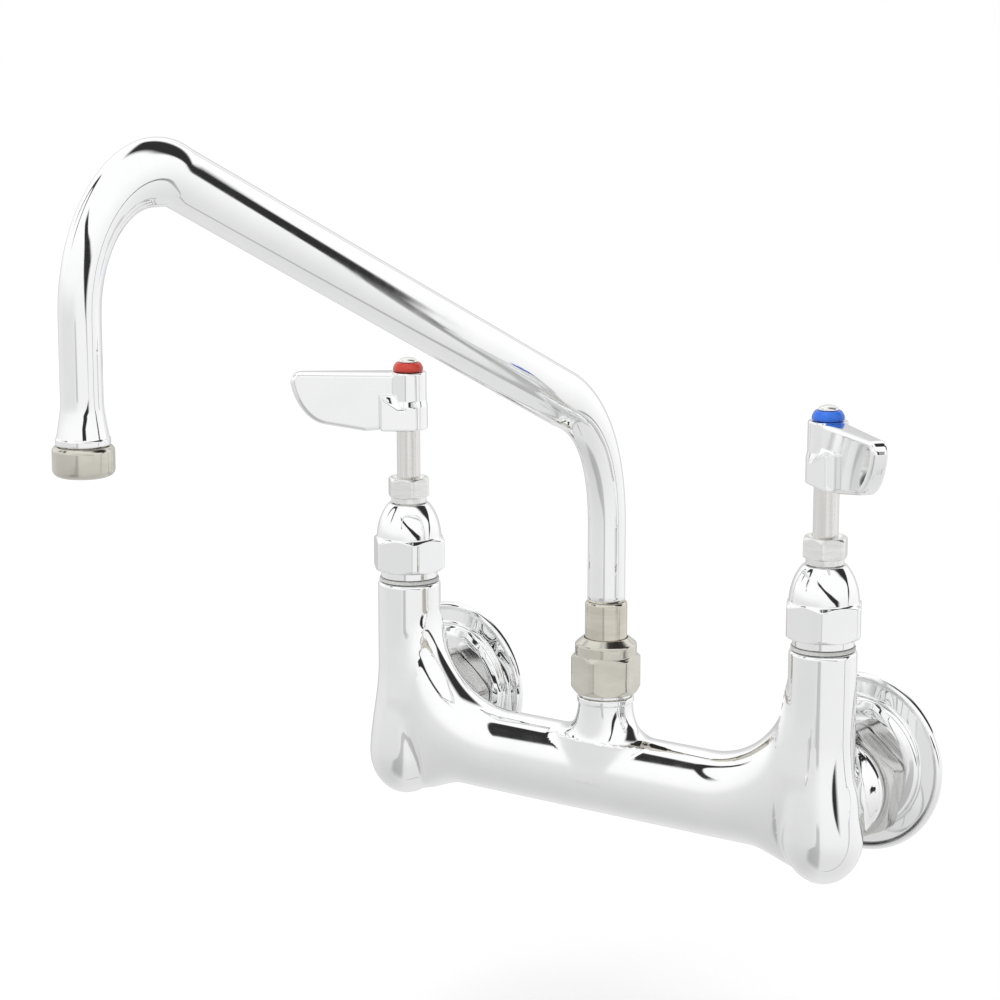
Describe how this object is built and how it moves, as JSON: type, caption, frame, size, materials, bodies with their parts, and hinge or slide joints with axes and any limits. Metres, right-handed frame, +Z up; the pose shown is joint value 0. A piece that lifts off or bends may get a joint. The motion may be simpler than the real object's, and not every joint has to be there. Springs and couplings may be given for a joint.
{
  "type": "commercial wall faucet",
  "caption": "Wall-mounted faucet with a cast bridge body, a compression valve and lever at each end, wall flanges behind, and a swing spout with an angled arm and a downturned outlet.",
  "frame": {"origin": "on the wall plane, midway between the two supply pipes' centres", "axes": "+Z up, +Y into the wall, -Y towards the user, +X from the hot side to the cold side"},
  "size_m": [0.2861, 0.2803, 0.2988],
  "materials": {
    "chrome": "bright polished chrome plating on brass",
    "satin_chrome": "fine turned satin plating",
    "satin_nickel": "satin nickel, warm grey",
    "brass": "turned, unplated",
    "rubber": "matte black",
    "fibre": "dull grey fibre",
    "white_plastic": "matte off-white",
    "red_plastic": "smooth semi-gloss red",
    "blue_plastic": "smooth semi-gloss blue"
  },
  "bodies": {
    "faucet_body": {"body_casting": "chrome", "swivel_nut": "satin_nickel", "slip_washer": "white_plastic", "hot_bonnet": "chrome", "hot_bonnet_gasket": "fibre", "hot_packing_nut": "satin_chrome", "hot_gland_washer": "brass", "hot_stem_packing": "white_plastic", "hot_seat": "brass", "hot_union_tail": "brass", "hot_coupling_nut": "satin_chrome", "hot_union_washer": "rubber", "hot_wall_flange": "chrome", "cold_bonnet": "chrome", "cold_bonnet_gasket": "fibre", "cold_packing_nut": "satin_chrome", "cold_gland_washer": "brass", "cold_stem_packing": "white_plastic", "cold_seat": "brass", "cold_union_tail": "brass", "cold_coupling_nut": "satin_chrome", "cold_union_washer": "rubber", "cold_wall_flange": "chrome"},
    "spout": {"spout_sleeve": "satin_nickel", "o_ring_lower": "rubber", "o_ring_upper": "rubber", "spout_tube": "chrome", "outlet_ring": "satin_nickel", "flow_straightener": "white_plastic", "outlet_washer": "rubber"},
    "hot_washer": {"hot_seat_washer": "rubber"},
    "hot_spindle": {"hot_stem": "satin_chrome", "hot_washer_screw": "brass", "hot_lever": "chrome", "hot_index_ring": "red_plastic", "hot_handle_screw": "satin_chrome"},
    "cold_washer": {"cold_seat_washer": "rubber"},
    "cold_spindle": {"cold_stem": "satin_chrome", "cold_washer_screw": "brass", "cold_lever": "chrome", "cold_index_ring": "blue_plastic", "cold_handle_screw": "satin_chrome"}
  },
  "joints": [
    {"name": "spout_swing", "type": "hinge", "parent": "faucet_body", "child": "spout", "pos_m": [0, -0.0335, 0], "axis": [0, 0, 1], "range_deg": [-75, 105]},
    {"name": "hot_lift", "type": "slide", "parent": "faucet_body", "child": "hot_washer", "axis": [0, 0, 1], "range_m": [0, 0.002]},
    {"name": "hot_turn", "type": "hinge", "parent": "hot_washer", "child": "hot_spindle", "pos_m": [-0.1016, -0.0335, 0.05], "axis": [0, 0, 1], "range_deg": [0, 90]},
    {"name": "cold_lift", "type": "slide", "parent": "faucet_body", "child": "cold_washer", "axis": [0, 0, 1], "range_m": [0, 0.002]},
    {"name": "cold_turn", "type": "hinge", "parent": "cold_washer", "child": "cold_spindle", "pos_m": [0.1016, -0.0335, 0.05], "axis": [0, 0, -1], "range_deg": [0, 90]}
  ],
  "couplings": [
    {"joint": "hot_turn", "follows": "hot_lift", "rad_per_m": 785.4},
    {"joint": "cold_turn", "follows": "cold_lift", "rad_per_m": 785.4}
  ]
}
